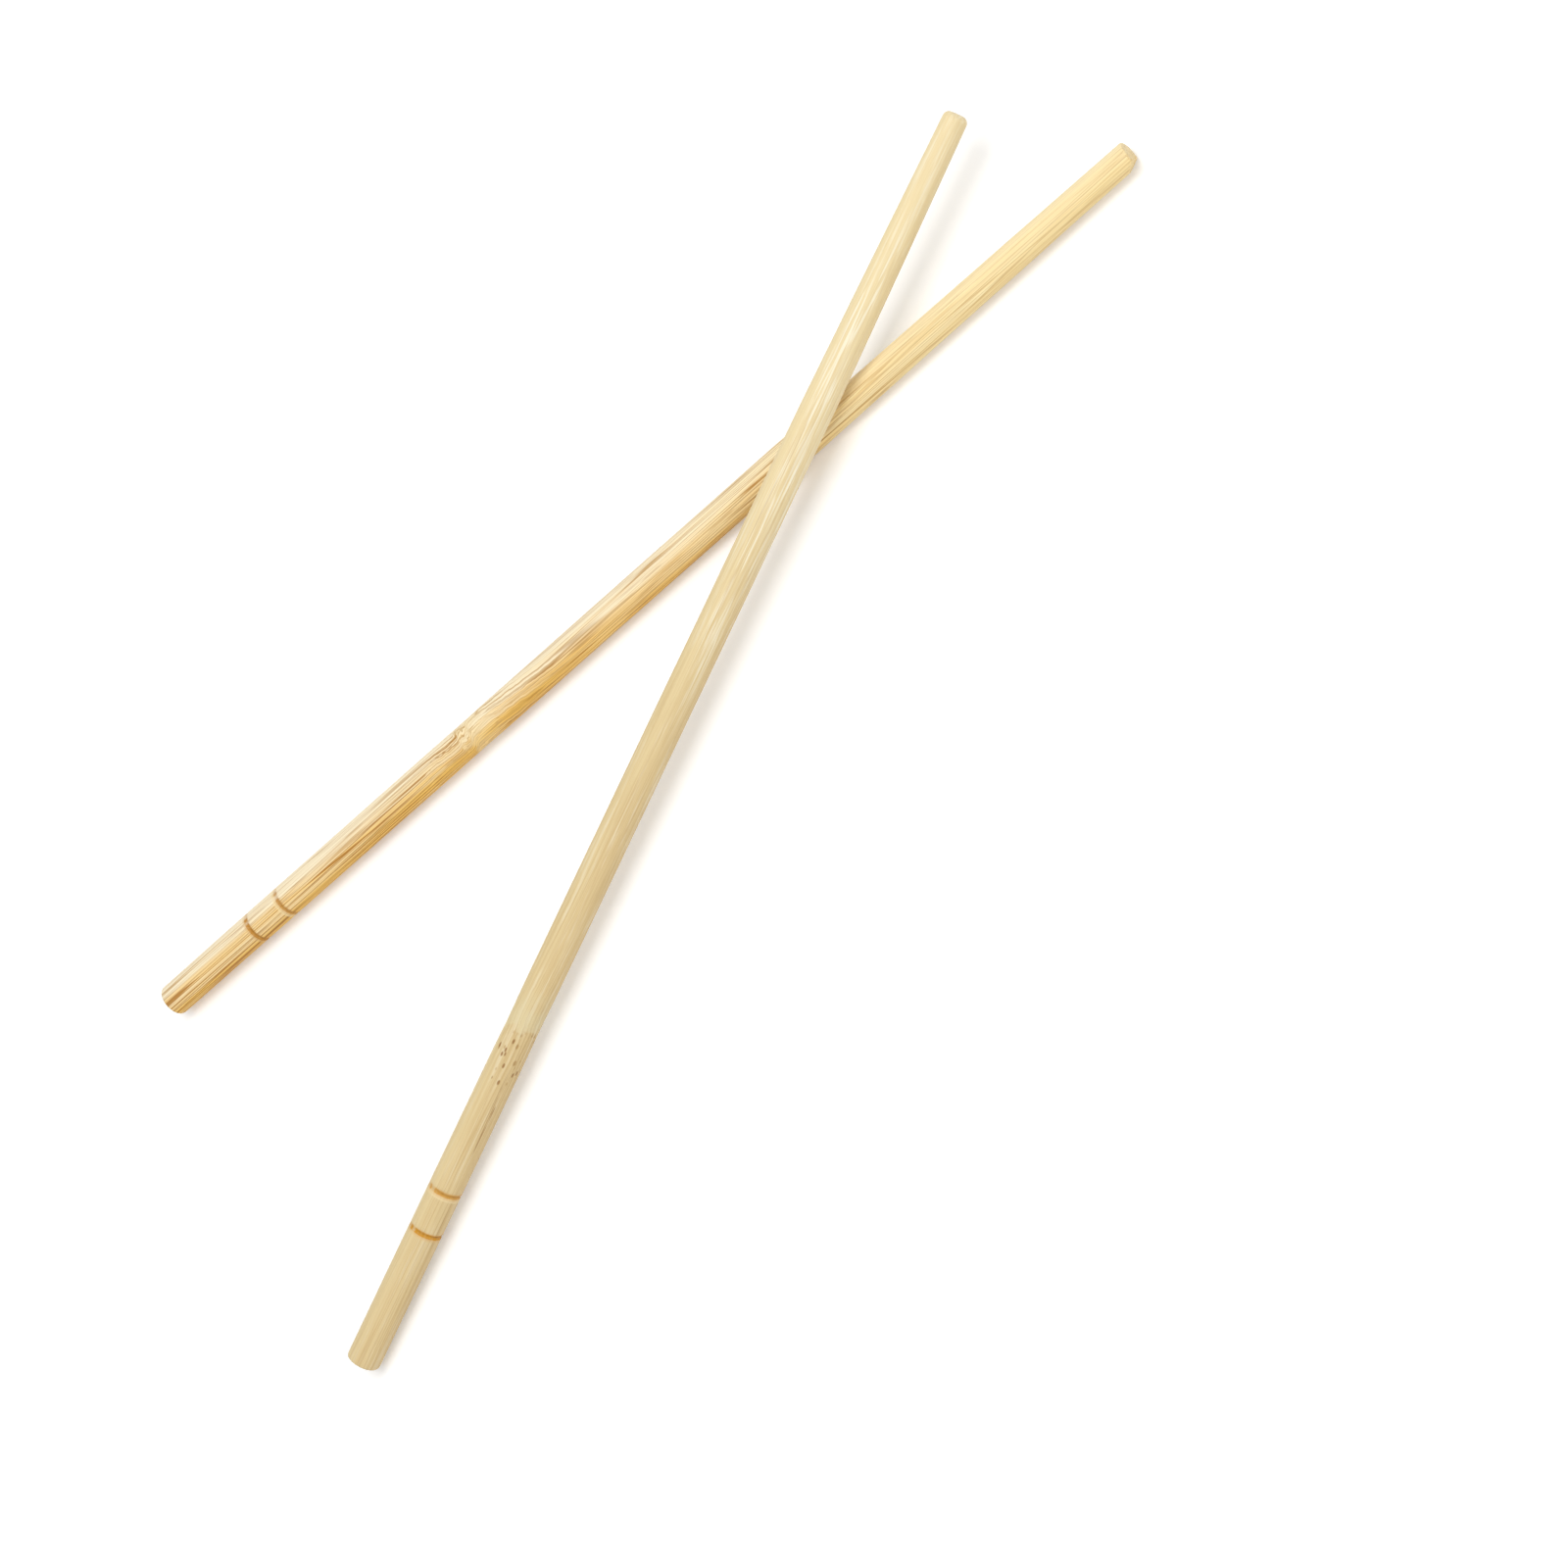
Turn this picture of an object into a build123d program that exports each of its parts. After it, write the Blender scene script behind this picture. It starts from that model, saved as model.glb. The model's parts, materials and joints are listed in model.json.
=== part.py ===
"""A pair of round bamboo chopsticks, one lying flat and the other leaning across it.

Each stick is turned from one strip of bamboo: a round barrel at the butt, a shank that thins very
slightly, and past a shoulder a steeper taper to the tip. Two ring grooves go round the barrel.
They are cut slightly off centre, so each is deep on one side and nearly runs out on the other.

Frame: +Z up from the surface that the pair lies on, +Y from the butts to the tips along the line
that halves the angle between the sticks, origin under the middle of the pair. Millimetres.
"""

import os
from math import asin, atan2, cos, degrees, radians, sin, sqrt

from build123d import *

# Sizes that both sticks share.
stick_length = 230.0
butt_diameter = 5.95
butt_rounding = 0.5
ring_spacing = 7.85
ring_cutter_radius = 0.45
ring_deep = 0.20
ring_shallow = 0.04
barrel_past_rings = 2.0

# The lower stick, which lies on the surface.
lower_shoulder_distance = 155.0
lower_shoulder_diameter = 5.55
lower_tip_diameter = 4.5
lower_tip_rounding = 0.4
lower_first_ring = 23.8
lower_touch_distance = 166.5

# The upper stick, whose butt is on the surface and whose tip is held up by the lower stick.
upper_shoulder_distance = 180.0
upper_shoulder_diameter = 5.55
upper_tip_diameter = 4.15
upper_tip_rounding = 1.1
upper_first_ring = 26.8
upper_touch_distance = 179.0

# How the two lie together.
crossing_angle = 25.0
resting_clearance = 0.01


class Stick:
    """The outline of one stick: where its barrel, shank and taper end, and how thick they are."""

    def __init__(self, shoulder_distance, shoulder_diameter, tip_diameter, tip_rounding, first_ring):
        self.shoulder_distance = shoulder_distance
        self.shoulder_radius = shoulder_diameter / 2
        self.tip_radius = tip_diameter / 2
        self.tip_rounding = tip_rounding
        self.rings = [first_ring, first_ring + ring_spacing]
        self.barrel_end = self.rings[-1] + barrel_past_rings

    def corners(self):
        """Distance from the butt and radius at each corner of the outline."""
        return [
            (0, butt_diameter / 2),
            (self.barrel_end, butt_diameter / 2),
            (self.shoulder_distance, self.shoulder_radius),
            (stick_length, self.tip_radius),
        ]

    def radius_at(self, distance):
        """Radius of the surface at a distance from the butt."""
        corners = self.corners()
        for (start, start_radius), (end, end_radius) in zip(corners, corners[1:]):
            if distance <= end:
                share = (distance - start) / (end - start)
                return start_radius + share * (end_radius - start_radius)
        return self.tip_radius

    def shank_slope(self):
        """Angle in radians between the shank's surface and the centre line."""
        drop = butt_diameter / 2 - self.shoulder_radius
        return atan2(drop, self.shoulder_distance - self.barrel_end)


def direction(heading, rise):
    """Unit vector at a heading from +Y towards +X and a rise above the surface, in radians."""
    return Vector(sin(heading) * cos(rise), cos(heading) * cos(rise), sin(rise))


def stick_plane(butt, heading, rise):
    """Plane at the middle of a butt: its X runs to the tip, and its Y is level, to the right."""
    along = direction(heading, rise)
    right = Vector(cos(heading), -sin(heading), 0)
    return Plane(origin=butt, x_dir=along, z_dir=along.cross(right))


def stick_ends(stick, butt, along):
    """The two round ends: middle of the face, way into the stick, radius and edge rounding."""
    tip = butt + along * stick_length
    return [
        (butt, along, butt_diameter / 2, butt_rounding),
        (tip, -along, stick.tip_radius, stick.tip_rounding),
    ]


def reach(end, way):
    """How far a rounded end reaches along a direction, from the origin."""
    face_middle, inward, radius, rounding = end
    ring_middle = face_middle + inward * rounding
    ring_reach = (radius - rounding) * sqrt(1 - inward.dot(way) ** 2)
    return ring_middle.dot(way) + ring_reach + rounding


def middle_between(ends, way):
    """Place along a direction that is halfway between the outermost ends."""
    farthest = max(reach(end, way) for end in ends)
    farthest_back = max(reach(end, -way) for end in ends)
    return (farthest - farthest_back) / 2


def turned_stick(stick, plane):
    """One stick turned about the plane's X, with its rings deepest towards the plane's Y."""
    centre_line = Axis(plane.origin, plane.x_dir)
    ring_shift = (ring_deep - ring_shallow) / 2
    ring_line = Axis(plane.origin - plane.y_dir * ring_shift, plane.x_dir)
    cutter_offset = butt_diameter / 2 - ring_deep + ring_cutter_radius

    with BuildPart() as turned:
        with BuildSketch(plane):
            with BuildLine():
                Polyline((0, 0), *stick.corners(), (stick_length, 0), close=True)
            make_face()
        revolve(axis=centre_line)
        rims = turned.edges().filter_by(GeomType.CIRCLE).sort_by(centre_line)
        fillet(rims[0], butt_rounding)
        rims = turned.edges().filter_by(GeomType.CIRCLE).sort_by(centre_line)
        fillet(rims[-1], stick.tip_rounding)

        with BuildSketch(plane):
            with Locations(*[(ring, cutter_offset) for ring in stick.rings]):
                Circle(ring_cutter_radius)
        revolve(axis=ring_line, mode=Mode.SUBTRACT)
    return turned


lower_stick = Stick(
    lower_shoulder_distance,
    lower_shoulder_diameter,
    lower_tip_diameter,
    lower_tip_rounding,
    lower_first_ring,
)
upper_stick = Stick(
    upper_shoulder_distance,
    upper_shoulder_diameter,
    upper_tip_diameter,
    upper_tip_rounding,
    upper_first_ring,
)

# The lower stick rests along its shank, so its centre line dips by the slope of the shank.
lower_heading = radians(crossing_angle) / 2
lower_rise = -lower_stick.shank_slope()
lower_along = direction(lower_heading, lower_rise)
shank_start_height = butt_diameter / 2 * cos(lower_rise)
touch_past_shank_start = lower_touch_distance - lower_stick.barrel_end
lower_touch_height = shank_start_height + touch_past_shank_start * sin(lower_rise)

# The upper stick rises from the rim of its butt until it lies on the lower one. The gap between
# the centre lines is square to both, so the rise and the way across the gap are found in turn.
upper_heading = -lower_heading
centre_gap = (
    lower_stick.radius_at(lower_touch_distance)
    + upper_stick.radius_at(upper_touch_distance)
    + resting_clearance
)
upper_rise = 0.0
for _ in range(8):
    upper_along = direction(upper_heading, upper_rise)
    across_gap = lower_along.cross(upper_along).normalized()
    upper_touch_height = lower_touch_height + centre_gap * across_gap.Z
    rim_height = butt_rounding + (butt_diameter / 2 - butt_rounding) * cos(upper_rise)
    rise_per_length = (upper_touch_height - rim_height) / (upper_touch_distance - butt_rounding)
    upper_rise = asin(rise_per_length)

# Both are laid out from where they touch, and then moved so that the pair is over the origin.
lower_touch = Vector(0, 0, lower_touch_height)
upper_touch = lower_touch + across_gap * centre_gap
lower_butt = lower_touch - lower_along * lower_touch_distance
upper_butt = upper_touch - upper_along * upper_touch_distance
ends = stick_ends(lower_stick, lower_butt, lower_along) + stick_ends(upper_stick, upper_butt, upper_along)
middle = Vector(middle_between(ends, Vector(1, 0, 0)), middle_between(ends, Vector(0, 1, 0)), 0)

lower_plane = stick_plane(lower_butt - middle, lower_heading, lower_rise)
lower_chopstick = turned_stick(lower_stick, lower_plane)
upper_plane = stick_plane(upper_butt - middle, upper_heading, upper_rise)
upper_chopstick = turned_stick(upper_stick, upper_plane)

os.makedirs("parts", exist_ok=True)
lower_chopstick.part.label = "lower_chopstick"
export_step(lower_chopstick.part, "parts/lower_chopstick.step")
upper_chopstick.part.label = "upper_chopstick"
export_step(upper_chopstick.part, "parts/upper_chopstick.step")

for name, plane, rise in (("lower", lower_plane, lower_rise), ("upper", upper_plane, upper_rise)):
    place = ", ".join(f"{value:.3f}" for value in plane.origin)
    along = ", ".join(f"{value:.5f}" for value in plane.x_dir)
    print(f"{name}: butt at {place} mm, along {along}, rise {degrees(rise):.3f} degrees")
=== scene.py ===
"""Looks for a pair of round bamboo chopsticks, one lying flat and the other leaning across it.

Each stick is modelled again with its ring grooves, rounded ends, cut tip corner and slight planing
marks, and stands for the plain turned stick of the frame. The bamboo is one material per stick,
with fibres that run along the stick and show as dots on its ends. Lengths are in metres, and in the
material the place on a stick is worked out in millimetres from the middle of its butt.
"""

import json
from collections import namedtuple
from math import cos, pi, radians, sin

import bpy
from mathutils import Matrix, Vector


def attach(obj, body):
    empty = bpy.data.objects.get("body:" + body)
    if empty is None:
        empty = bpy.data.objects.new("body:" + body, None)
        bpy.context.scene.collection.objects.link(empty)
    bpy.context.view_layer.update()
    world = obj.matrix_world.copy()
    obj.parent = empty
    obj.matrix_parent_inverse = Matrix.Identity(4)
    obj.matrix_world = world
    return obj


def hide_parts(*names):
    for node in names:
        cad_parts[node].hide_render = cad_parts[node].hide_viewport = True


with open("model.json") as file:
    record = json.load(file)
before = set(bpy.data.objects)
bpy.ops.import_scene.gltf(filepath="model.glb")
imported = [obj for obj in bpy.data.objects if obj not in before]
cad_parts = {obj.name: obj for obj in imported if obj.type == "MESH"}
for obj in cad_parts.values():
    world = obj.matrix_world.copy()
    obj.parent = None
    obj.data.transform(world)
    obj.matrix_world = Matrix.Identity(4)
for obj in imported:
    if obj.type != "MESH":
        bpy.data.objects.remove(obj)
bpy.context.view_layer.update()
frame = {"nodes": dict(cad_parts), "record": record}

bl_info = {
    "name": "Bamboo Chopsticks",
    "version": (1, 0, 0),
    "blender": (4, 5, 0),
    "location": "View3D > Sidebar > Chopsticks",
    "description": "Models a pair of round bamboo chopsticks and their stage",
    "category": "Add Mesh",
}

MM = 0.001
MOUNTS = {mount["name"]: mount for mount in frame["record"]["mounts"]}
BUTT_RADIUS = MOUNTS["lower_butt_barrel"]["dims"]["r_mm"] * MM
CANE_JOINT = "cane_joint"

# Direction from a stick's axis to the outside of its cane: to the right, and down. Towards this side the
# bamboo turns golden, partly the cane's own tone and partly painted shade on the side away from the light.
SHADED_OUTER_SIDE = (0.87, 0.5)

FLOOR_SIZE = 12.0

# A ring groove's distance from the butt, how burnt it is, how far its burn is off its middle, and how
# strong the painted highlight on its rim is.
BurntRing = namedtuple("BurntRing", "distance scorch shift lip")


def colour(red, green, blue):
    """Scene-linear colour from the usual 0 to 255 values."""

    def linear(value):
        share = value / 255
        return share / 12.92 if share <= 0.04045 else ((share + 0.055) / 1.055) ** 2.4

    return linear(red), linear(green), linear(blue)


def length(name, description, default, **limits):
    """A length property, given in millimetres."""
    return bpy.props.FloatProperty(
        name=name, description=description, default=default * MM, unit="LENGTH", precision=5, **limits
    )


def tint(name, description, default):
    """A colour property, given as 0 to 255 values."""
    return bpy.props.FloatVectorProperty(
        name=name, description=description, default=colour(*default), subtype="COLOR", min=0, max=1
    )


def amount(name, description, default):
    """A share from 0 to 1."""
    return bpy.props.FloatProperty(
        name=name, description=description, default=default, subtype="FACTOR", min=0, max=1
    )


class StickShape:
    """Sizes that both sticks share."""

    butt_rounding: length("Butt rounding", "Radius of the butt's rounded edge", 0.5)
    ring_spacing: length("Ring spacing", "Distance between the two ring grooves", 7.85)
    ring_width: length("Ring width", "Width of a ring groove", 0.75)
    ring_deep: length("Ring depth", "Depth of a ring groove on its deep side", 0.2)
    ring_shallow: length("Ring shallow depth", "Depth of a ring groove on its other side", 0.02)
    sides: bpy.props.IntProperty(name="Sides", description="Faces around a stick", default=128, min=16)
    loop_spacing: length("Loop spacing", "Distance between edge loops along a stick", 1.0)


class LowerStick(StickShape, bpy.types.PropertyGroup):
    """Shape and bamboo of the stick that lies on the surface."""

    shoulder_distance: length("Shoulder distance", "From the butt to where the taper starts", 155)
    shoulder_diameter: length("Shoulder diameter", "Thickness where the taper starts", 5.55)
    tip_diameter: length("Tip diameter", "Thickness at the tip", 4.5)
    tip_rounding: length("Tip rounding", "Radius of the tip's rounded edge", 0.4)
    tip_bevel: length("Tip bevel", "Size of the corner that is cut off the tip's edge", 1.2)
    first_ring: length("First ring", "From the butt to the first ring groove", 23.8)
    joint_distance: length("Joint distance", "From the butt to the joint of the bamboo cane", 80)
    fibre_jump: length("Fibre jump", "How far the fibres swerve at the joint", 1.3)
    # Pale and golden bamboo: partly the cane's own tones, and partly painted light and shade, pale on the
    # stick's left and upper side and golden on its right and lower side, away from the light.
    pale: tint("Pale bamboo", "Bamboo on the inner side of the cane", (252, 237, 203))
    golden: tint("Golden bamboo", "Bamboo on the outer side of the cane", (244, 198, 98))
    # Tip bamboo; the same colour is the painted highlight on the rims of the ring grooves.
    tip_and_rim_highlight_tint: tint("Tip bamboo", "Bamboo at the tip", (249, 228, 174))
    # Painted highlight: colour of the bright streaks that stand in for light caught along the fibres.
    painted_highlight_tint: tint("Satin streaks", "Streaks that catch the light", (255, 240, 190))
    joint_tint: tint("Joint patch", "Smooth patch behind the joint of the cane", (244, 220, 166))
    fibre: tint("Fibre", "Stain of the fibre lines", (192, 158, 104))
    strand: tint("Strand", "Darkest strands and pores", (150, 102, 40))
    burnt: tint("Burnt ring", "Bottom of the ring grooves", (190, 130, 34))
    # Strength of the painted highlight streaks.
    painted_highlight: amount("Satin", "Strength of the satin streaks", 0.45)
    fibre_contrast: amount("Fibre contrast", "Strength of the fibre lines", 1.0)
    strand_contrast: amount("Strand contrast", "Strength of the darkest strands", 0.7)
    flecks: amount("Flecks", "Strength of the flecks at the joint", 0.0)
    first_scorch: amount("First scorch", "How burnt the first ring groove is", 0.95)
    second_scorch: amount("Second scorch", "How burnt the second ring groove is", 0.8)
    crack: amount("Crack", "Strength of the fine dark crack before the joint", 0.0)


class UpperStick(StickShape, bpy.types.PropertyGroup):
    """Shape and bamboo of the stick that leans across the other."""

    shoulder_distance: length("Shoulder distance", "From the butt to where the taper starts", 180)
    shoulder_diameter: length("Shoulder diameter", "Thickness where the taper starts", 5.55)
    tip_diameter: length("Tip diameter", "Thickness at the tip", 4.15)
    tip_rounding: length("Tip rounding", "Radius of the tip's rounded edge", 1.1)
    tip_bevel: length("Tip bevel", "Size of the corner that is cut off the tip's edge", 0.35)
    first_ring: length("First ring", "From the butt to the first ring groove", 26.8)
    joint_distance: length("Joint distance", "From the butt to the joint of the bamboo cane", 66.5)
    fibre_jump: length("Fibre jump", "How far the fibres swerve at the joint", 0.35)
    # Pale and golden bamboo: partly the cane's own tones, and partly painted light and shade, pale on the
    # stick's left and upper side and golden on its right and lower side, away from the light.
    pale: tint("Pale bamboo", "Bamboo on the inner side of the cane", (226, 204, 154))
    golden: tint("Golden bamboo", "Bamboo on the outer side of the cane", (220, 194, 142))
    # Tip bamboo; the same colour is the painted highlight on the rims of the ring grooves.
    tip_and_rim_highlight_tint: tint("Tip bamboo", "Bamboo at the tip", (242, 223, 176))
    # Painted highlight: colour of the bright streaks that stand in for light caught along the fibres.
    painted_highlight_tint: tint("Satin streaks", "Streaks that catch the light", (255, 250, 228))
    joint_tint: tint("Joint patch", "Smooth patch behind the joint of the cane", (226, 214, 172))
    fibre: tint("Fibre", "Stain of the fibre lines", (206, 180, 138))
    strand: tint("Strand", "Darkest strands and pores", (150, 104, 50))
    burnt: tint("Burnt ring", "Bottom of the ring grooves", (204, 142, 18))
    # Strength of the painted highlight streaks.
    painted_highlight: amount("Satin", "Strength of the satin streaks", 0.6)
    fibre_contrast: amount("Fibre contrast", "Strength of the fibre lines", 0.28)
    strand_contrast: amount("Strand contrast", "Strength of the darkest strands", 0.4)
    flecks: amount("Flecks", "Strength of the flecks at the joint", 1.0)
    first_scorch: amount("First scorch", "How burnt the first ring groove is", 1.0)
    second_scorch: amount("Second scorch", "How burnt the second ring groove is", 0.85)
    crack: amount("Crack", "Strength of the fine dark crack before the joint", 0.75)


class StageSettings(bpy.types.PropertyGroup):
    """Floor, lights and camera."""

    floor_colour: tint("Floor", "Colour of the floor", (247, 247, 247))
    lens: bpy.props.FloatProperty(name="Lens", description="Focal length, mm", default=81.0)
    azimuth: bpy.props.FloatProperty(
        name="Azimuth",
        description="Turn of the camera about the vertical, from the butts' side",
        default=radians(126.05),
        subtype="ANGLE",
    )
    elevation: bpy.props.FloatProperty(
        name="Elevation", description="Height angle of the camera", default=radians(55.77), subtype="ANGLE"
    )
    roll: bpy.props.FloatProperty(
        name="Roll",
        description="Turn of the camera about its view",
        default=radians(-82.86),
        subtype="ANGLE",
    )
    distance: length("Distance", "From the camera to what it looks at", 560.5)
    look_at: bpy.props.FloatVectorProperty(
        name="Look at",
        description="Point on the floor in the middle of the view",
        default=(30.9 * MM, 7.7 * MM, 0),
        unit="LENGTH",
    )


def stick_matrix(name):
    """Place of a stick: X runs from its butt to its tip, Y is level and to the right."""
    face = MOUNTS[name + "_butt_face"]
    along = -Vector(face["axis"]).normalized()
    right = Vector((along.y, -along.x, 0)).normalized()
    matrix = Matrix((along, right, along.cross(right))).transposed().to_4x4()
    matrix.translation = Vector(face["pos_m"])
    return matrix


def stick_length(name, matrix):
    """Length of a stick, from the farthest point of its frame node along its own line."""
    into_stick = matrix.inverted()
    return max((into_stick @ vertex.co).x for vertex in frame["nodes"][name + "_chopstick"].data.vertices)


def even_steps(start, end, spacing):
    """Distances after the start, up to and with the end, about a spacing apart."""
    count = max(1, round((end - start) / spacing))
    return [start + (end - start) * step / count for step in range(1, count + 1)]


def plain_radius(shape, total, distance):
    """Radius of a stick before its ends are rounded and its rings are cut."""
    rings_end = shape.first_ring + shape.ring_spacing
    shoulder = shape.shoulder_distance
    if distance <= rings_end:
        return BUTT_RADIUS
    if distance <= shoulder:
        share = (distance - rings_end) / (shoulder - rings_end)
        return BUTT_RADIUS + share * (shape.shoulder_diameter / 2 - BUTT_RADIUS)
    share = (distance - shoulder) / (total - shoulder)
    return (shape.shoulder_diameter + share * (shape.tip_diameter - shape.shoulder_diameter)) / 2


def ring_share(shape, distance):
    """How deep a place is in a ring groove, from 0 outside it to 1 on its bottom."""
    deepest = 0.0
    for ring in (shape.first_ring, shape.first_ring + shape.ring_spacing):
        across = (distance - ring) / (shape.ring_width / 2)
        deepest = max(deepest, 1 - across * across)
    return deepest


def outline(shape, total):
    """Distance from the butt, radius and sideways shift of each edge loop of a stick."""
    arc_steps = 6
    loops = []
    rounding = shape.butt_rounding
    for step in range(arc_steps + 1):
        turn = pi / 2 * step / arc_steps
        loops.append((rounding * (1 - cos(turn)), BUTT_RADIUS - rounding * (1 - sin(turn)), 0.0))

    distances = []
    start = rounding
    groove_steps = 8
    for ring in (shape.first_ring, shape.first_ring + shape.ring_spacing):
        edge = ring - shape.ring_width / 2
        distances += even_steps(start, edge, shape.loop_spacing)
        start = ring + shape.ring_width / 2
        distances += even_steps(edge, start, shape.ring_width / groove_steps)
    distances += even_steps(start, shape.shoulder_distance, shape.loop_spacing)
    taper_end = total - shape.tip_rounding
    distances += even_steps(shape.shoulder_distance, taper_end, shape.loop_spacing)
    mean_depth = (shape.ring_deep + shape.ring_shallow) / 2
    shift = (shape.ring_deep - shape.ring_shallow) / 2
    for distance in distances:
        share = ring_share(shape, distance)
        radius = plain_radius(shape, total, distance) - share * mean_depth
        loops.append((distance, radius, -share * shift))

    rounding = shape.tip_rounding
    tip_radius = plain_radius(shape, total, taper_end)
    for step in range(1, arc_steps + 1):
        turn = pi / 2 * step / arc_steps
        loops.append((taper_end + rounding * sin(turn), tip_radius - rounding * (1 - cos(turn)), 0.0))
    return loops


def turn_stick(name, loops, sides):
    """Closed stick along X, drawn from a disc by one extrusion for each edge loop."""
    bpy.ops.object.select_all(action="DESELECT")
    distance, radius, _ = loops[0]
    bpy.ops.mesh.primitive_circle_add(
        vertices=sides, radius=radius, fill_type="NGON", location=(distance, 0, 0), rotation=(0, pi / 2, 0)
    )
    stick = bpy.context.object
    stick.name = stick.data.name = name
    bpy.ops.object.transform_apply(location=True, rotation=True, scale=True)
    bpy.ops.object.mode_set(mode="EDIT")
    bpy.ops.mesh.select_all(action="SELECT")
    shift = 0.0
    for next_distance, next_radius, next_shift in loops[1:]:
        step = (next_distance - distance, next_shift - shift, 0)
        bpy.ops.mesh.extrude_region_move(TRANSFORM_OT_translate={"value": step})
        scale = next_radius / radius
        bpy.ops.transform.resize(value=(1, scale, scale), center_override=(next_distance, next_shift, 0))
        distance, radius, shift = next_distance, next_radius, next_shift
    return stick


def choose(mesh_object, wanted):
    """Selects, in edit mode, the faces whose middle the test accepts."""
    bpy.ops.mesh.select_all(action="DESELECT")
    bpy.ops.object.mode_set(mode="OBJECT")
    for face in mesh_object.data.polygons:
        face.select = wanted(face)
    bpy.ops.object.mode_set(mode="EDIT")


def close_end(stick, end, radius):
    """Gives a flat end rings of faces round its middle, so that relief can be pressed into it."""
    rings = 10
    near = 0.1 * MM
    bpy.ops.mesh.select_mode(type="FACE")
    choose(stick, lambda face: len(face.vertices) > 4 and abs(face.center.x - end) < near)
    for _ in range(rings - 1):
        bpy.ops.mesh.inset(thickness=radius / rings)
    bpy.ops.mesh.poke()


def cut_corner(shape, total):
    """Cuts a slanting flat off the tip's edge, on the stick's right side and a little below it."""
    forwards = Vector((1, 0, 0))
    outwards = Vector((0, 0.91, 0.41))
    corner = forwards * total + outwards * (shape.tip_diameter / 2 - shape.tip_bevel)
    slant = forwards * 0.5 + outwards * 0.86
    on_the_cut = 0.0001 * MM
    bpy.ops.mesh.select_all(action="SELECT")
    bpy.ops.mesh.bisect(
        plane_co=corner, plane_no=slant, use_fill=True, clear_outer=True, threshold=on_the_cut
    )


def press_in(stick, name, grain_size, depth, stretch, detail=2, group=""):
    """Presses a noise that is stretched along the stick into its surface, and never out of it."""
    texture = bpy.data.textures.new(name, "CLOUDS")
    texture.noise_scale = grain_size
    texture.noise_depth = detail
    bpy.ops.object.empty_add(location=(0, 0, 0))
    grain = bpy.context.object
    grain.scale = (stretch, 1, 1)
    bpy.context.view_layer.objects.active = stick
    relief = stick.modifiers.new(name, "DISPLACE")
    relief.texture = texture
    relief.texture_coords = "OBJECT"
    relief.texture_coords_object = grain
    relief.strength = depth
    relief.mid_level = 1.0
    relief.vertex_group = group
    bpy.ops.object.modifier_apply(modifier=name)
    bpy.data.objects.remove(grain)


def lay_in_place(stick, matrix):
    """Moves the mesh to its place in the frame, faces outwards, smooth but for sharp edges."""
    stick.matrix_world = matrix
    bpy.ops.object.select_all(action="DESELECT")
    stick.select_set(True)
    bpy.context.view_layer.objects.active = stick
    bpy.ops.object.transform_apply(location=True, rotation=True, scale=True)
    bpy.ops.object.mode_set(mode="EDIT")
    bpy.ops.mesh.select_all(action="SELECT")
    bpy.ops.mesh.normals_make_consistent(inside=False)
    bpy.ops.object.mode_set(mode="OBJECT")
    bpy.ops.object.shade_smooth_by_angle(angle=radians(40))


def turned_chopstick(name, shape):
    """One finished stick, at its place in the frame."""
    matrix = stick_matrix(name)
    total = stick_length(name, matrix)
    loops = outline(shape, total)
    stick = turn_stick(name + "_turned_stick", loops, shape.sides)
    close_end(stick, 0.0, loops[0][1])
    close_end(stick, total, loops[-1][1])
    cut_corner(shape, total)
    bpy.ops.object.mode_set(mode="OBJECT")
    mark_cane_joint(stick, shape)
    press_in(stick, "Planing marks", 1.6 * MM, depth=0.07 * MM, stretch=40.0)
    press_in(stick, "Fibre grooves", 0.45 * MM, depth=0.035 * MM, stretch=45.0, detail=1)
    press_in(stick, "Cane joint", 0.9 * MM, depth=0.12 * MM, stretch=3.0, group=CANE_JOINT)
    lay_in_place(stick, matrix)
    stick.data.materials.append(bamboo(name, shape, matrix, total))
    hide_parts(name + "_chopstick")
    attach(stick, "root")
    return stick


def mark_cane_joint(stick, shape):
    """Vertex group that is strongest where the joint of the cane crosses the stick."""
    reach = 7 * MM
    group = stick.vertex_groups.new(name=CANE_JOINT)
    for vertex in stick.data.vertices:
        away = abs(vertex.co.x - shape.joint_distance) / reach
        if away < 1:
            group.add([vertex.index], (1 - away * away) ** 2, "REPLACE")


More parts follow.
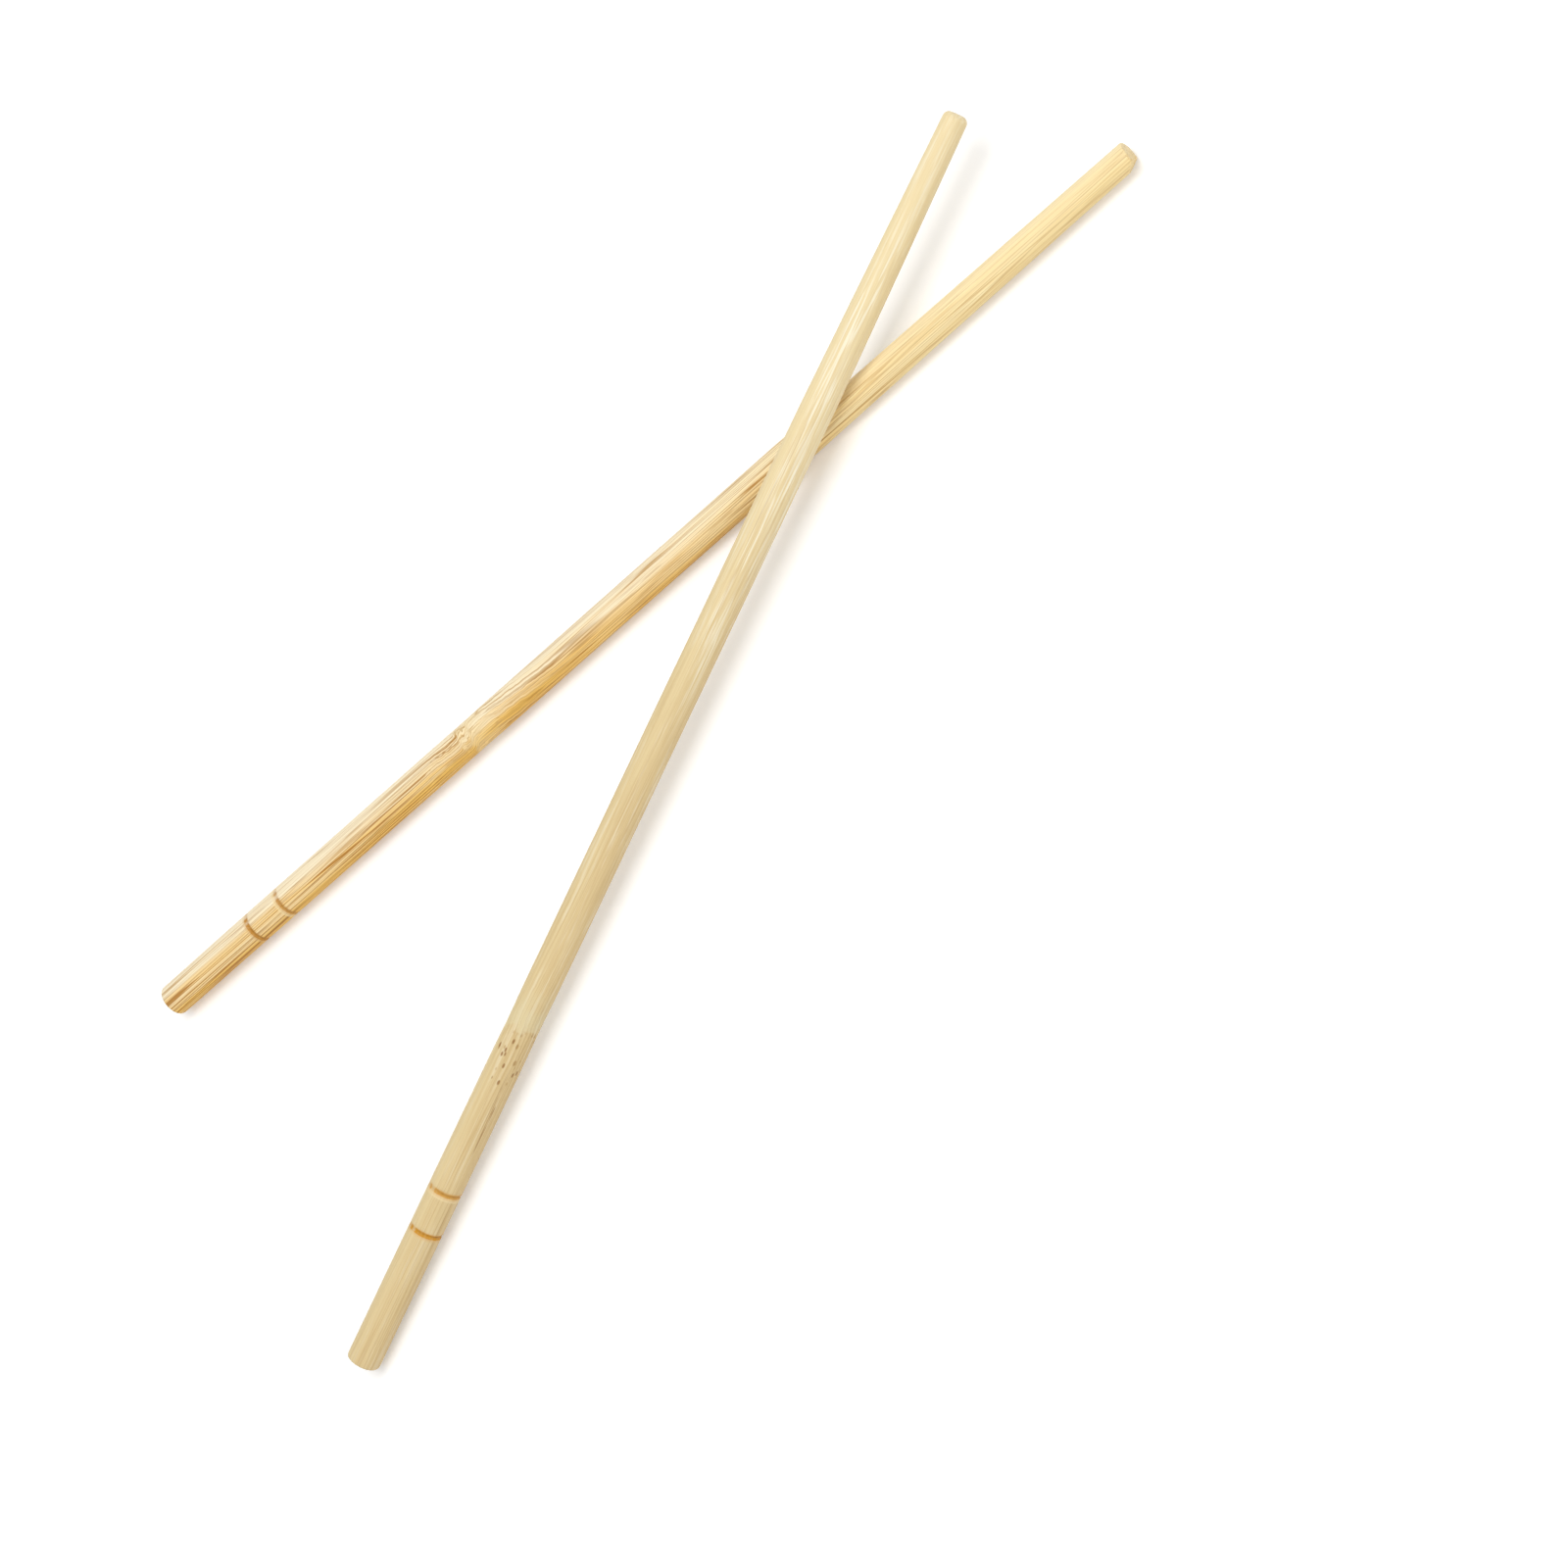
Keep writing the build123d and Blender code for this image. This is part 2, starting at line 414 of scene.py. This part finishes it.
class Nodes:
    """Short calls that add nodes to one material and return their output."""

    def __init__(self, material):
        self.tree = material.node_tree
        self.tree.nodes.clear()

    def add(self, kind, inputs, **options):
        node = self.tree.nodes.new(kind)
        for option, value in options.items():
            setattr(node, option, value)
        for socket, value in inputs.items():
            if isinstance(value, bpy.types.NodeSocket):
                self.tree.links.new(value, node.inputs[socket])
            else:
                node.inputs[socket].default_value = value
        return node

    def math(self, operation, *values):
        inputs = dict(enumerate(values))
        return self.add("ShaderNodeMath", inputs, operation=operation).outputs[0]

    def times(self, first, *others):
        for other in others:
            first = self.math("MULTIPLY", first, other)
        return first

    def away(self, value, middle):
        """How far a value is from a middle, either way."""
        return self.math("ABSOLUTE", self.math("SUBTRACT", value, middle))

    def ramp(self, value, start, end, low=0.0, high=1.0):
        """Value carried smoothly from start..end to low..high, and held beyond them."""
        inputs = {"Value": value, "From Min": start, "From Max": end, "To Min": low, "To Max": high}
        return self.add("ShaderNodeMapRange", inputs, interpolation_type="SMOOTHSTEP").outputs["Result"]

    def mix(self, share, first, second, how="MIX"):
        """Colour between two, or the first stained by the second."""
        inputs = {0: share, 6: as_rgba(first), 7: as_rgba(second)}
        return self.add("ShaderNodeMix", inputs, data_type="RGBA", blend_type=how).outputs[2]

    def drawn_out(self, place, stretch, start=(0, 0, 0)):
        """Place squeezed along the stick, so that a pattern on it is drawn out along the fibres."""
        inputs = {"Vector": place, "Location": start, "Scale": (1 / stretch, 1, 1)}
        return self.add("ShaderNodeMapping", inputs).outputs["Vector"]

    def noise(self, place, scale, detail=2.0, roughness=0.5):
        inputs = {"Vector": place, "Scale": scale, "Detail": detail, "Roughness": roughness}
        return self.add("ShaderNodeTexNoise", inputs).outputs["Fac"]

    def seams(self, place, scale, width):
        """Thin lines between scattered cells."""
        inputs = {"Vector": place, "Scale": scale}
        edge = self.add("ShaderNodeTexVoronoi", inputs, feature="DISTANCE_TO_EDGE").outputs["Distance"]
        return self.ramp(edge, 0.35 * width, width, 1.0, 0.0)

    def dots(self, place, scale, small, large):
        """Soft spots round scattered points."""
        inputs = {"Vector": place, "Scale": scale}
        near = self.add("ShaderNodeTexVoronoi", inputs).outputs["Distance"]
        return self.ramp(near, small, large, 1.0, 0.0)


def as_rgba(value):
    """Colour with an alpha, or the socket as it is."""
    if isinstance(value, bpy.types.NodeSocket):
        return value
    return (value[0], value[1], value[2], 1.0)


def stick_place(nodes, matrix):
    """Place in millimetres from the middle of a stick's butt: X along it, Y to the right, Z down."""
    coordinates = nodes.add("ShaderNodeTexCoord", {}).outputs["Object"]
    inputs = {
        "Vector": coordinates,
        "Location": matrix.translation,
        "Rotation": matrix.to_euler(),
        "Scale": (MM, MM, MM),
    }
    return nodes.add("ShaderNodeMapping", inputs, vector_type="TEXTURE").outputs["Vector"]


def swerved(nodes, place, past_joint, near_joint, look):
    """Place on the fibres, which jump round the stick at the cane's joint and wave beside it."""
    jump = nodes.times(
        nodes.ramp(past_joint, -1.2, 2.8),
        nodes.ramp(past_joint, 3.0, 24.0, 1.0, 0.0),
        look.fibre_jump / BUTT_RADIUS,
    )
    inputs = {"Vector": place, "Angle": jump}
    turned = nodes.add("ShaderNodeVectorRotate", inputs, rotation_type="X_AXIS").outputs["Vector"]
    inputs = {"Vector": nodes.drawn_out(place, 3.0), "Scale": 0.28, "Detail": 0.0}
    wave = nodes.add("ShaderNodeTexNoise", inputs).outputs["Color"]
    inputs = {0: wave, 1: (0.5, 0.5, 0.5)}
    wave = nodes.add("ShaderNodeVectorMath", inputs, operation="SUBTRACT").outputs[0]
    inputs = {0: wave, "Scale": nodes.times(near_joint, 1.3 * look.fibre_jump / MM)}
    wave = nodes.add("ShaderNodeVectorMath", inputs, operation="SCALE").outputs[0]
    return nodes.add("ShaderNodeVectorMath", {0: turned, 1: wave}, operation="ADD").outputs[0]


class Grain:
    """Where a point of a stick is: along it, round its cane, past the joint and on its fibres."""

    def __init__(self, nodes, look, matrix, total):
        self.radius = BUTT_RADIUS / MM
        self.whole = total / MM
        self.place = stick_place(nodes, matrix)
        parts = nodes.add("ShaderNodeSeparateXYZ", {"Vector": self.place}).outputs
        self.along = parts["X"]

        # The joint of the cane crosses the stick a little unevenly.
        uneven = nodes.ramp(nodes.noise(self.place, 0.5), 0.2, 0.8, -1.6, 1.6)
        uneven_along = nodes.math("ADD", self.along, uneven)
        self.past_joint = nodes.math("SUBTRACT", uneven_along, look.joint_distance / MM)
        self.near_joint = nodes.ramp(nodes.math("ABSOLUTE", self.past_joint), 1.0, 12.0, 1.0, 0.0)
        self.fibres = swerved(nodes, self.place, self.past_joint, self.near_joint, look)

        # Way round the stick to the outside of the cane, which is also the side painted in shade.
        right, down = SHADED_OUTER_SIDE
        shaded_outer_way = nodes.math("ADD", nodes.times(parts["Y"], right), nodes.times(parts["Z"], down))
        broad = nodes.noise(nodes.drawn_out(self.fibres, 45.0), 0.75)
        self.shaded_outer_way = nodes.math("ADD", shaded_outer_way, nodes.ramp(broad, 0.2, 0.8, -1.6, 1.6))


def plain_bamboo(nodes, look, grain):
    """Pale on the inner side of the cane, golden on its outside, and paler at the tip; the pale and golden
    sides are partly the cane's own tone and partly painted light and shade.
    """
    # Painted shade: the mix towards golden on the side away from the light.
    shaded_outer = nodes.ramp(grain.shaded_outer_way, -0.85 * grain.radius, 0.8 * grain.radius)
    body = nodes.mix(shaded_outer, look.pale, look.golden)
    to_tip = nodes.ramp(grain.along, 0.48 * grain.whole, 0.82 * grain.whole, 0.0, 0.75)
    return nodes.mix(to_tip, body, look.tip_and_rim_highlight_tint)


def painted_highlight_streaks(nodes, grain):
    """Noise and strength of the painted highlight streaks, bright streaks that stand in for light caught
    along the fibres; the strength grows towards the tip.
    """
    noise = nodes.noise(nodes.drawn_out(grain.fibres, 26.0, (3, 5, 2)), 1.7, 3.0, 0.6)
    growing = nodes.ramp(grain.along, 0.1 * grain.whole, 0.6 * grain.whole, 0.5, 1.0)
    return noise, nodes.times(nodes.ramp(noise, 0.5, 0.68), growing)


def painted_crest_highlight(nodes, grain):
    """Painted highlight: thin bright streaks midway between the cane's two sides, on the half towards the
    tip, where a lamp's gleam would run along the stick.
    """
    off_highlight_band = nodes.away(grain.shaded_outer_way, 0.15 * grain.radius)
    highlight_band = nodes.times(
        nodes.ramp(off_highlight_band, 0.2 * grain.radius, 0.75 * grain.radius, 1.0, 0.0),
        nodes.ramp(grain.along, 0.5 * grain.whole, 0.66 * grain.whole),
        nodes.ramp(grain.along, 0.85 * grain.whole, 0.95 * grain.whole, 1.0, 0.3),
    )
    bright = nodes.noise(nodes.drawn_out(grain.fibres, 34.0, (6, 2, 9)), 3.4, 1.0)
    return nodes.times(nodes.ramp(bright, 0.5, 0.62), highlight_band)


def fibre_lines(nodes, grain):
    """Fine lines, darker ones where those are weak, and strands; weaker at the tip and inner side."""
    fade = nodes.times(
        nodes.ramp(grain.along, 0.65 * grain.whole, 0.9 * grain.whole, 1.0, 0.4),
        nodes.ramp(grain.shaded_outer_way, -1.1 * grain.radius, 0.1 * grain.radius, 0.45, 1.0),
    )
    come_and_go = nodes.noise(nodes.drawn_out(grain.fibres, 22.0, (9, 1, 4)), 0.8, 1.0)
    fine = nodes.seams(nodes.drawn_out(grain.fibres, 80.0), 3.2, 0.12)
    fine = nodes.times(fine, nodes.ramp(come_and_go, 0.35, 0.62, 0.3, 1.0), fade)
    seam = nodes.seams(nodes.drawn_out(grain.fibres, 110.0, (1, 7, 3)), 2.0, 0.11)
    seam = nodes.times(seam, nodes.ramp(come_and_go, 0.62, 0.42, 0.3, 1.0), fade)
    seam = nodes.times(seam, nodes.math("ADD", 1.0, nodes.times(grain.near_joint, 0.5)))
    strand = nodes.dots(nodes.drawn_out(grain.fibres, 75.0, (4, 2, 8)), 1.0, 0.05, 0.13)
    return fine, seam, nodes.times(strand, fade, fade)


def crack_line(nodes, look, grain):
    """A fine dark crack that runs up to the joint of the cane."""
    wobble = nodes.noise(nodes.drawn_out(grain.place, 8.0), 0.9)
    way = nodes.math("ADD", grain.shaded_outer_way, nodes.ramp(wobble, 0.3, 0.7, -0.25, 0.25))
    way = nodes.math("ADD", way, nodes.times(grain.past_joint, 0.02))
    return nodes.times(
        nodes.ramp(nodes.away(way, 0.3 * grain.radius), 0.03, 0.14, 1.0, 0.0),
        nodes.ramp(grain.past_joint, -28.0, -18.0, 0.35, 1.0),
        nodes.ramp(grain.past_joint, -34.0, -30.0),
        nodes.ramp(grain.past_joint, -12.0, -10.0, 1.0, 0.0),
        look.crack,
    )


def add_burnt_rings(nodes, look, grain, body):
    """Ring grooves with a painted highlight on their rim, a soft burnt line and a dark core, most where
    they are deep.
    """
    deep_side = nodes.ramp(grain.shaded_outer_way, -0.97 * grain.radius, -0.5 * grain.radius, 0.4, 1.0)
    deepest = nodes.ramp(grain.shaded_outer_way, -0.3 * grain.radius, 0.7 * grain.radius, 0.15, 1.0)
    patchy = nodes.ramp(nodes.noise(grain.place, 1.8), 0.3, 0.55, 0.8, 1.0)
    second_ring = look.first_ring + look.ring_spacing
    rings = (
        BurntRing(look.first_ring, look.first_scorch, shift=0.0, lip=0.3),
        BurntRing(second_ring, look.second_scorch, shift=0.15, lip=0.7),
    )
    for ring in rings:
        off_ring = nodes.math("SUBTRACT", grain.along, ring.distance / MM)
        # Painted highlight: a pale band along the groove's rim, strongest on its deep side.
        lip = nodes.ramp(nodes.away(off_ring, -0.55), 0.2, 0.5, ring.lip, 0.0)
        body = nodes.mix(nodes.times(lip, deep_side), body, look.tip_and_rim_highlight_tint)
        halo = nodes.ramp(nodes.away(off_ring, ring.shift - 0.15), 0.4, 1.0, 0.4 * ring.scorch, 0.0)
        line = nodes.ramp(nodes.away(off_ring, ring.shift), 0.32, 0.62, ring.scorch, 0.0)
        burn = nodes.times(nodes.math("MAXIMUM", halo, line), deep_side, patchy)
        body = nodes.mix(burn, body, look.burnt)
        core = nodes.away(off_ring, ring.shift + 0.12)
        core = nodes.ramp(core, 0.06, 0.28, 0.65 * ring.scorch, 0.0)
        body = nodes.mix(nodes.times(core, deepest, patchy), body, look.strand)
    return body


def joint_flecks(nodes, look, grain):
    """Dark and tan flecks just before the joint of the cane."""
    before = nodes.times(
        nodes.ramp(grain.past_joint, -11.0, -9.0),
        nodes.ramp(grain.past_joint, -1.5, 0.5, 1.0, 0.0),
        look.flecks,
    )
    dark = nodes.dots(nodes.drawn_out(grain.place, 2.4), 1.0, 0.14, 0.26)
    tan = nodes.dots(nodes.drawn_out(grain.place, 2.0, (5, 8, 1)), 0.85, 0.15, 0.28)
    return nodes.times(dark, before), nodes.times(tan, before)


def joint_patch(nodes, grain):
    """A smooth patch behind the joint of the cane."""
    return nodes.times(
        nodes.ramp(grain.past_joint, -0.8, 0.8), nodes.ramp(grain.past_joint, 1.0, 9.0, 1.0, 0.0)
    )


def end_grain(nodes, grain):
    """Darkness of the cut ends, where the fibres show end on as pores."""
    butt_end = nodes.ramp(grain.along, 0.02, 0.12, 1.0, 0.0)
    tip_end = nodes.ramp(grain.along, grain.whole - 0.12, grain.whole - 0.02, 0.0, 0.4)
    pores = nodes.dots(nodes.drawn_out(grain.place, 200.0), 1.9, 0.1, 0.32)
    return nodes.times(
        nodes.math("ADD", butt_end, tip_end), nodes.ramp(pores, 0.0, 1.0, 0.12, 0.55)
    )


def bamboo(name, look, matrix, total):
    """Bamboo whose fibres run along one stick."""
    material = bpy.data.materials.new(name + "_bamboo")
    material.use_nodes = True
    nodes = Nodes(material)
    grain = Grain(nodes, look, matrix, total)
    highlight_streak_noise, painted_highlight = painted_highlight_streaks(nodes, grain)
    fine, seam, strand = fibre_lines(nodes, grain)
    fleck, tan_fleck = joint_flecks(nodes, look, grain)

    body = plain_bamboo(nodes, look, grain)
    # Painted highlights: bright streaks mixed into the colour.
    body = nodes.mix(nodes.times(painted_highlight, 0.6 * look.painted_highlight), body, look.painted_highlight_tint)
    body = nodes.mix(nodes.times(painted_crest_highlight(nodes, grain), look.painted_highlight), body, look.painted_highlight_tint)
    body = nodes.mix(nodes.times(fine, 0.5 * look.fibre_contrast), body, look.fibre, "MULTIPLY")
    body = nodes.mix(nodes.times(seam, look.fibre_contrast), body, look.fibre, "MULTIPLY")
    body = nodes.mix(nodes.times(strand, look.strand_contrast), body, look.strand)
    body = nodes.mix(crack_line(nodes, look, grain), body, look.strand)
    body = add_burnt_rings(nodes, look, grain, body)
    body = nodes.mix(nodes.times(joint_patch(nodes, grain), 0.45), body, look.joint_tint)
    body = nodes.mix(nodes.times(tan_fleck, 0.7), body, look.fibre, "MULTIPLY")
    body = nodes.mix(nodes.times(fleck, 0.85), body, look.strand)
    body = nodes.mix(end_grain(nodes, grain), body, look.strand)

    height = nodes.math("SUBTRACT", nodes.times(highlight_streak_noise, 0.5), nodes.times(fine, 0.3))
    height = nodes.math("SUBTRACT", height, nodes.times(seam, 0.45))
    height = nodes.math("SUBTRACT", height, nodes.times(fleck, 0.4))
    bump = nodes.add("ShaderNodeBump", {"Height": height, "Strength": 0.6, "Distance": 0.06 * MM})
    finish = nodes.add(
        "ShaderNodeBsdfPrincipled",
        {
            "Base Color": body,
            "Roughness": nodes.ramp(painted_highlight, 0.0, 1.0, 0.58, 0.4),
            "Specular IOR Level": 0.4,
            "Normal": bump.outputs["Normal"],
        },
    )
    nodes.add("ShaderNodeOutputMaterial", {"Surface": finish.outputs["BSDF"]})
    return material


class CHOPSTICKS_OT_lower(bpy.types.Operator):
    """Model the stick that lies on the surface"""

    bl_idname = "chopsticks.lower"
    bl_label = "Lower Chopstick"

    def execute(self, context):
        stick = turned_chopstick("lower", context.scene.lower_chopstick)
        return {"FINISHED"}


class CHOPSTICKS_OT_upper(bpy.types.Operator):
    """Model the stick that leans across the other"""

    bl_idname = "chopsticks.upper"
    bl_label = "Upper Chopstick"

    def execute(self, context):
        stick = turned_chopstick("upper", context.scene.upper_chopstick)
        return {"FINISHED"}


def camera_frame(stage):
    """Camera's place and turn, from its angles round the point it looks at."""
    level = cos(stage.elevation)
    back = Vector((sin(stage.azimuth) * level, -cos(stage.azimuth) * level, sin(stage.elevation)))
    turned = back.to_track_quat("Z", "Y").to_matrix().to_4x4() @ Matrix.Rotation(stage.roll, 4, "Z")
    return Matrix.Translation(Vector(stage.look_at) + back * stage.distance) @ turned


def add_camera(stage):
    """Camera at the angle from which the pair is seen."""
    camera = bpy.data.objects.new("camera", bpy.data.cameras.new("camera"))
    bpy.context.collection.objects.link(camera)
    camera.data.lens = stage.lens
    camera.data.clip_start = 0.01
    camera.matrix_world = camera_frame(stage)
    bpy.context.scene.camera = camera


def add_soft_light(name, way, distance, size, power):
    """Square lamp that shines on the middle of the pair from a direction."""
    lamp = bpy.data.objects.new(name, bpy.data.lights.new(name, "AREA"))
    bpy.context.collection.objects.link(lamp)
    lamp.data.size = size
    lamp.data.energy = power
    back = Vector(way).normalized()
    turned = back.to_track_quat("Z", "Y").to_matrix().to_4x4()
    lamp.matrix_world = Matrix.Translation(back * distance) @ turned


def floor_material(stage):
    """Matt floor that is brighter to the camera than to the object, and more so far off."""
    material = bpy.data.materials.new("floor")
    material.use_nodes = True
    nodes = Nodes(material)
    matt = nodes.add("ShaderNodeBsdfDiffuse", {"Color": as_rgba(stage.floor_colour)})
    seen = nodes.add("ShaderNodeLightPath", {}).outputs["Is Camera Ray"]
    place = nodes.add("ShaderNodeTexCoord", {}).outputs["Object"]
    far_off = nodes.add("ShaderNodeVectorMath", {0: place}, operation="LENGTH").outputs["Value"]
    lift = nodes.times(nodes.ramp(far_off, 0.25, 1.4, 0.18, 0.44), seen)
    glow = nodes.add("ShaderNodeEmission", {"Color": (1, 1, 1, 1), "Strength": lift})
    both = nodes.add("ShaderNodeAddShader", {0: matt.outputs[0], 1: glow.outputs[0]})
    nodes.add("ShaderNodeOutputMaterial", {"Surface": both.outputs[0]})
    return material


def set_world():
    """Even white surroundings."""
    world = bpy.data.worlds.new("studio")
    world.use_nodes = True
    bpy.context.scene.world = world
    nodes = Nodes(world)
    path = nodes.add("ShaderNodeLightPath", {}).outputs
    strength = nodes.ramp(path["Is Camera Ray"], 0.0, 1.0, 0.6, 1.0)
    sky = nodes.add("ShaderNodeBackground", {"Color": (1, 1, 1, 1), "Strength": strength})
    nodes.add("ShaderNodeOutputWorld", {"Surface": sky.outputs[0]})


class CHOPSTICKS_OT_stage(bpy.types.Operator):
    """Add the floor, the lights and the camera"""

    bl_idname = "chopsticks.stage"
    bl_label = "Stage"

    def execute(self, context):
        stage = context.scene.chopstick_stage
        bpy.ops.object.select_all(action="DESELECT")
        bpy.ops.mesh.primitive_plane_add(size=FLOOR_SIZE)
        floor = context.object
        floor.name = "floor"
        floor.data.materials.append(floor_material(stage))
        set_world()
        add_camera(stage)
        add_soft_light("key_light", way=(-0.05, 0.2, 0.95), distance=0.8, size=0.5, power=3.1)
        add_soft_light("fill_light", way=(0.8, 0.2, 0.6), distance=1.2, size=1.0, power=1.6)
        context.scene.view_settings.view_transform = "Standard"
        return {"FINISHED"}


class CHOPSTICKS_PT_panel(bpy.types.Panel):
    """Sizes, colours and the operators that use them"""

    bl_idname = "CHOPSTICKS_PT_panel"
    bl_label = "Chopsticks"
    bl_space_type = "VIEW_3D"
    bl_region_type = "UI"
    bl_category = "Chopsticks"

    def draw(self, context):
        groups = (
            (CHOPSTICKS_OT_lower, context.scene.lower_chopstick),
            (CHOPSTICKS_OT_upper, context.scene.upper_chopstick),
            (CHOPSTICKS_OT_stage, context.scene.chopstick_stage),
        )
        for operator, settings in groups:
            column = self.layout.column()
            for setting in settings.bl_rna.properties:
                if setting.identifier not in {"rna_type", "name"}:
                    column.prop(settings, setting.identifier)
            column.operator(operator.bl_idname)


CLASSES = (
    LowerStick,
    UpperStick,
    StageSettings,
    CHOPSTICKS_OT_lower,
    CHOPSTICKS_OT_upper,
    CHOPSTICKS_OT_stage,
    CHOPSTICKS_PT_panel,
)


def register():
    for each in CLASSES:
        bpy.utils.register_class(each)
    bpy.types.Scene.lower_chopstick = bpy.props.PointerProperty(type=LowerStick)
    bpy.types.Scene.upper_chopstick = bpy.props.PointerProperty(type=UpperStick)
    bpy.types.Scene.chopstick_stage = bpy.props.PointerProperty(type=StageSettings)


def unregister():
    del bpy.types.Scene.chopstick_stage
    del bpy.types.Scene.upper_chopstick
    del bpy.types.Scene.lower_chopstick
    for each in reversed(CLASSES):
        bpy.utils.unregister_class(each)


def main():
    """Models the pair on its stage."""
    register()
    bpy.ops.chopsticks.lower()
    bpy.ops.chopsticks.upper()
    bpy.ops.chopsticks.stage()


if __name__ == "__main__":
    main()
